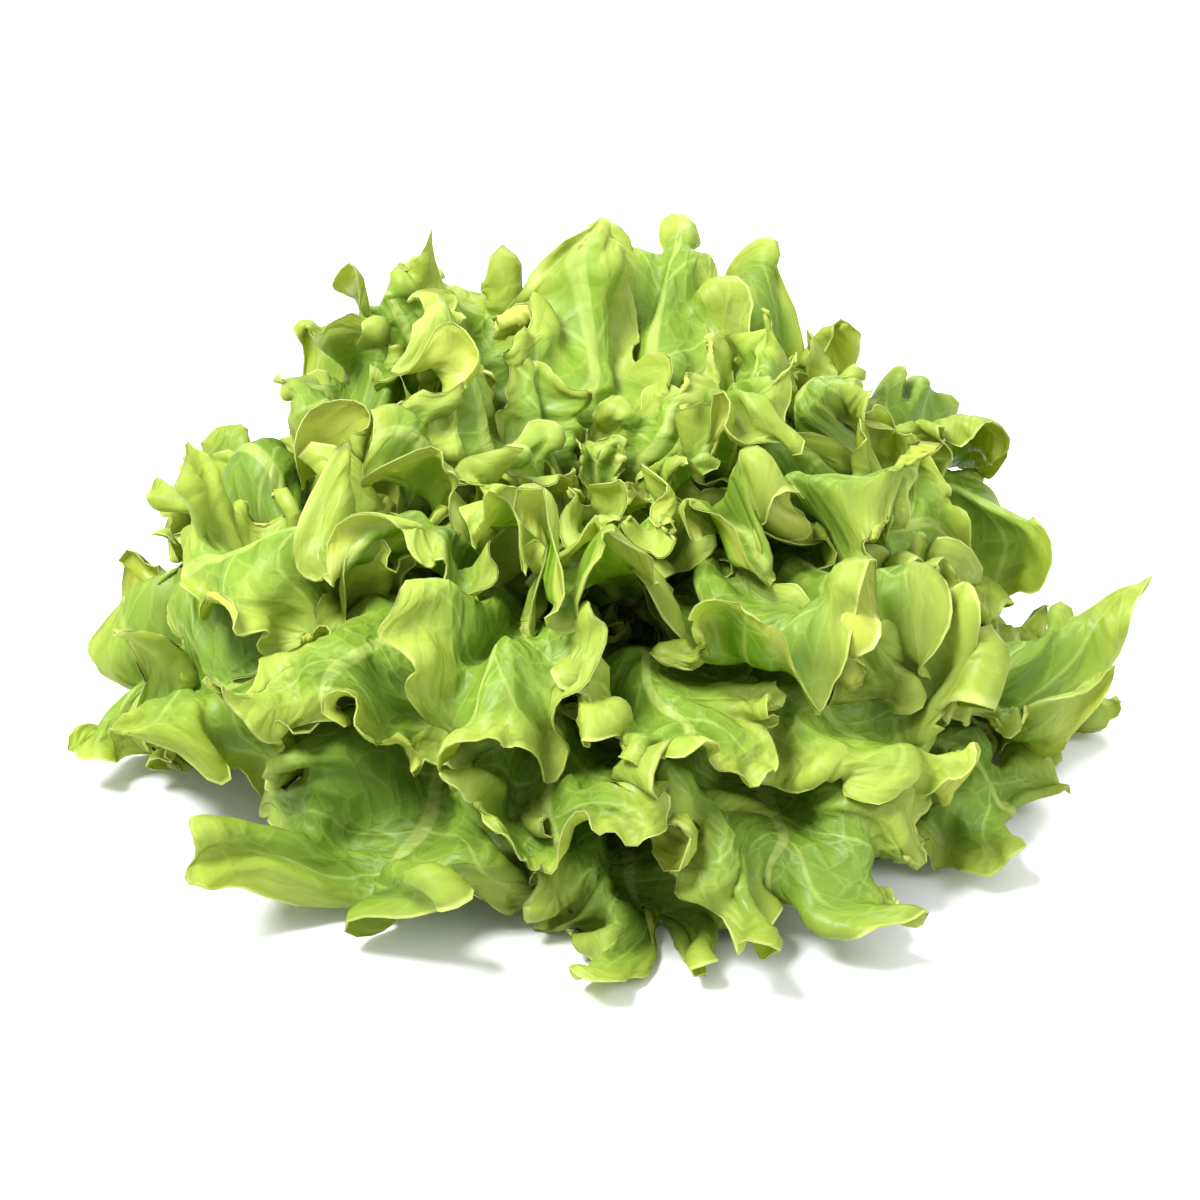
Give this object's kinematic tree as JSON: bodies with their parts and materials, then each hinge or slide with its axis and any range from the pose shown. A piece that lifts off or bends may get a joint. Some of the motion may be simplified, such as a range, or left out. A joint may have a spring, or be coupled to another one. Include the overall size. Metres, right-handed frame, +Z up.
{
  "type": "oak leaf lettuce",
  "caption": "Spreading dome-shaped head of green leaf lettuce with lobed, frilled leaves round an open heart, standing on its cut stem.",
  "frame": {"origin": "centre of the stem's flat cut face, on which the head stands", "axes": "+Z up along the stem, -Y towards the lower side of the head, from which the heart is seen"},
  "size_m": [0.2934, 0.28, 0.1302],
  "materials": {
    "outer_leaf": "soft satin, thin and translucent",
    "middle_leaf": "soft satin, thin and translucent",
    "inner_leaf": "soft satin, thin and translucent",
    "heart_leaf": "soft satin, thin and translucent",
    "stem": "matte, freshly cut"
  },
  "bodies": {
    "root": {"heart_leaf_01": "heart_leaf", "heart_leaf_02": "heart_leaf", "heart_leaf_03": "heart_leaf", "heart_leaf_04": "heart_leaf", "heart_leaf_05": "heart_leaf", "heart_leaf_06": "heart_leaf", "heart_leaf_07": "heart_leaf", "heart_leaf_08": "heart_leaf", "heart_leaf_09": "heart_leaf", "heart_leaf_10": "heart_leaf", "inner_leaf_01": "inner_leaf", "inner_leaf_02": "inner_leaf", "inner_leaf_03": "inner_leaf", "inner_leaf_04": "inner_leaf", "inner_leaf_05": "inner_leaf", "inner_leaf_06": "inner_leaf", "inner_leaf_07": "inner_leaf", "inner_leaf_08": "inner_leaf", "inner_leaf_09": "inner_leaf", "inner_leaf_10": "inner_leaf", "inner_leaf_11": "inner_leaf", "inner_leaf_12": "inner_leaf", "inner_leaf_13": "inner_leaf", "middle_leaf_01": "middle_leaf", "middle_leaf_02": "middle_leaf", "middle_leaf_03": "middle_leaf", "middle_leaf_04": "middle_leaf", "middle_leaf_05": "middle_leaf", "middle_leaf_06": "middle_leaf", "middle_leaf_07": "middle_leaf", "middle_leaf_08": "middle_leaf", "middle_leaf_09": "middle_leaf", "middle_leaf_10": "middle_leaf", "middle_leaf_11": "middle_leaf", "middle_leaf_12": "middle_leaf", "middle_leaf_13": "middle_leaf", "middle_leaf_14": "middle_leaf", "middle_leaf_15": "middle_leaf", "middle_leaf_16": "middle_leaf", "middle_leaf_17": "middle_leaf", "middle_leaf_18": "middle_leaf", "outer_leaf_01": "outer_leaf", "outer_leaf_02": "outer_leaf", "outer_leaf_03": "outer_leaf", "outer_leaf_04": "outer_leaf", "outer_leaf_05": "outer_leaf", "outer_leaf_06": "outer_leaf", "outer_leaf_07": "outer_leaf", "outer_leaf_08": "outer_leaf", "outer_leaf_09": "outer_leaf", "outer_leaf_10": "outer_leaf", "outer_leaf_11": "outer_leaf", "outer_leaf_12": "outer_leaf", "outer_leaf_13": "outer_leaf", "outer_leaf_14": "outer_leaf", "outer_leaf_15": "outer_leaf", "outer_leaf_16": "outer_leaf", "outer_leaf_17": "outer_leaf", "outer_leaf_18": "outer_leaf", "stem": "stem"}
  },
  "joints": []
}
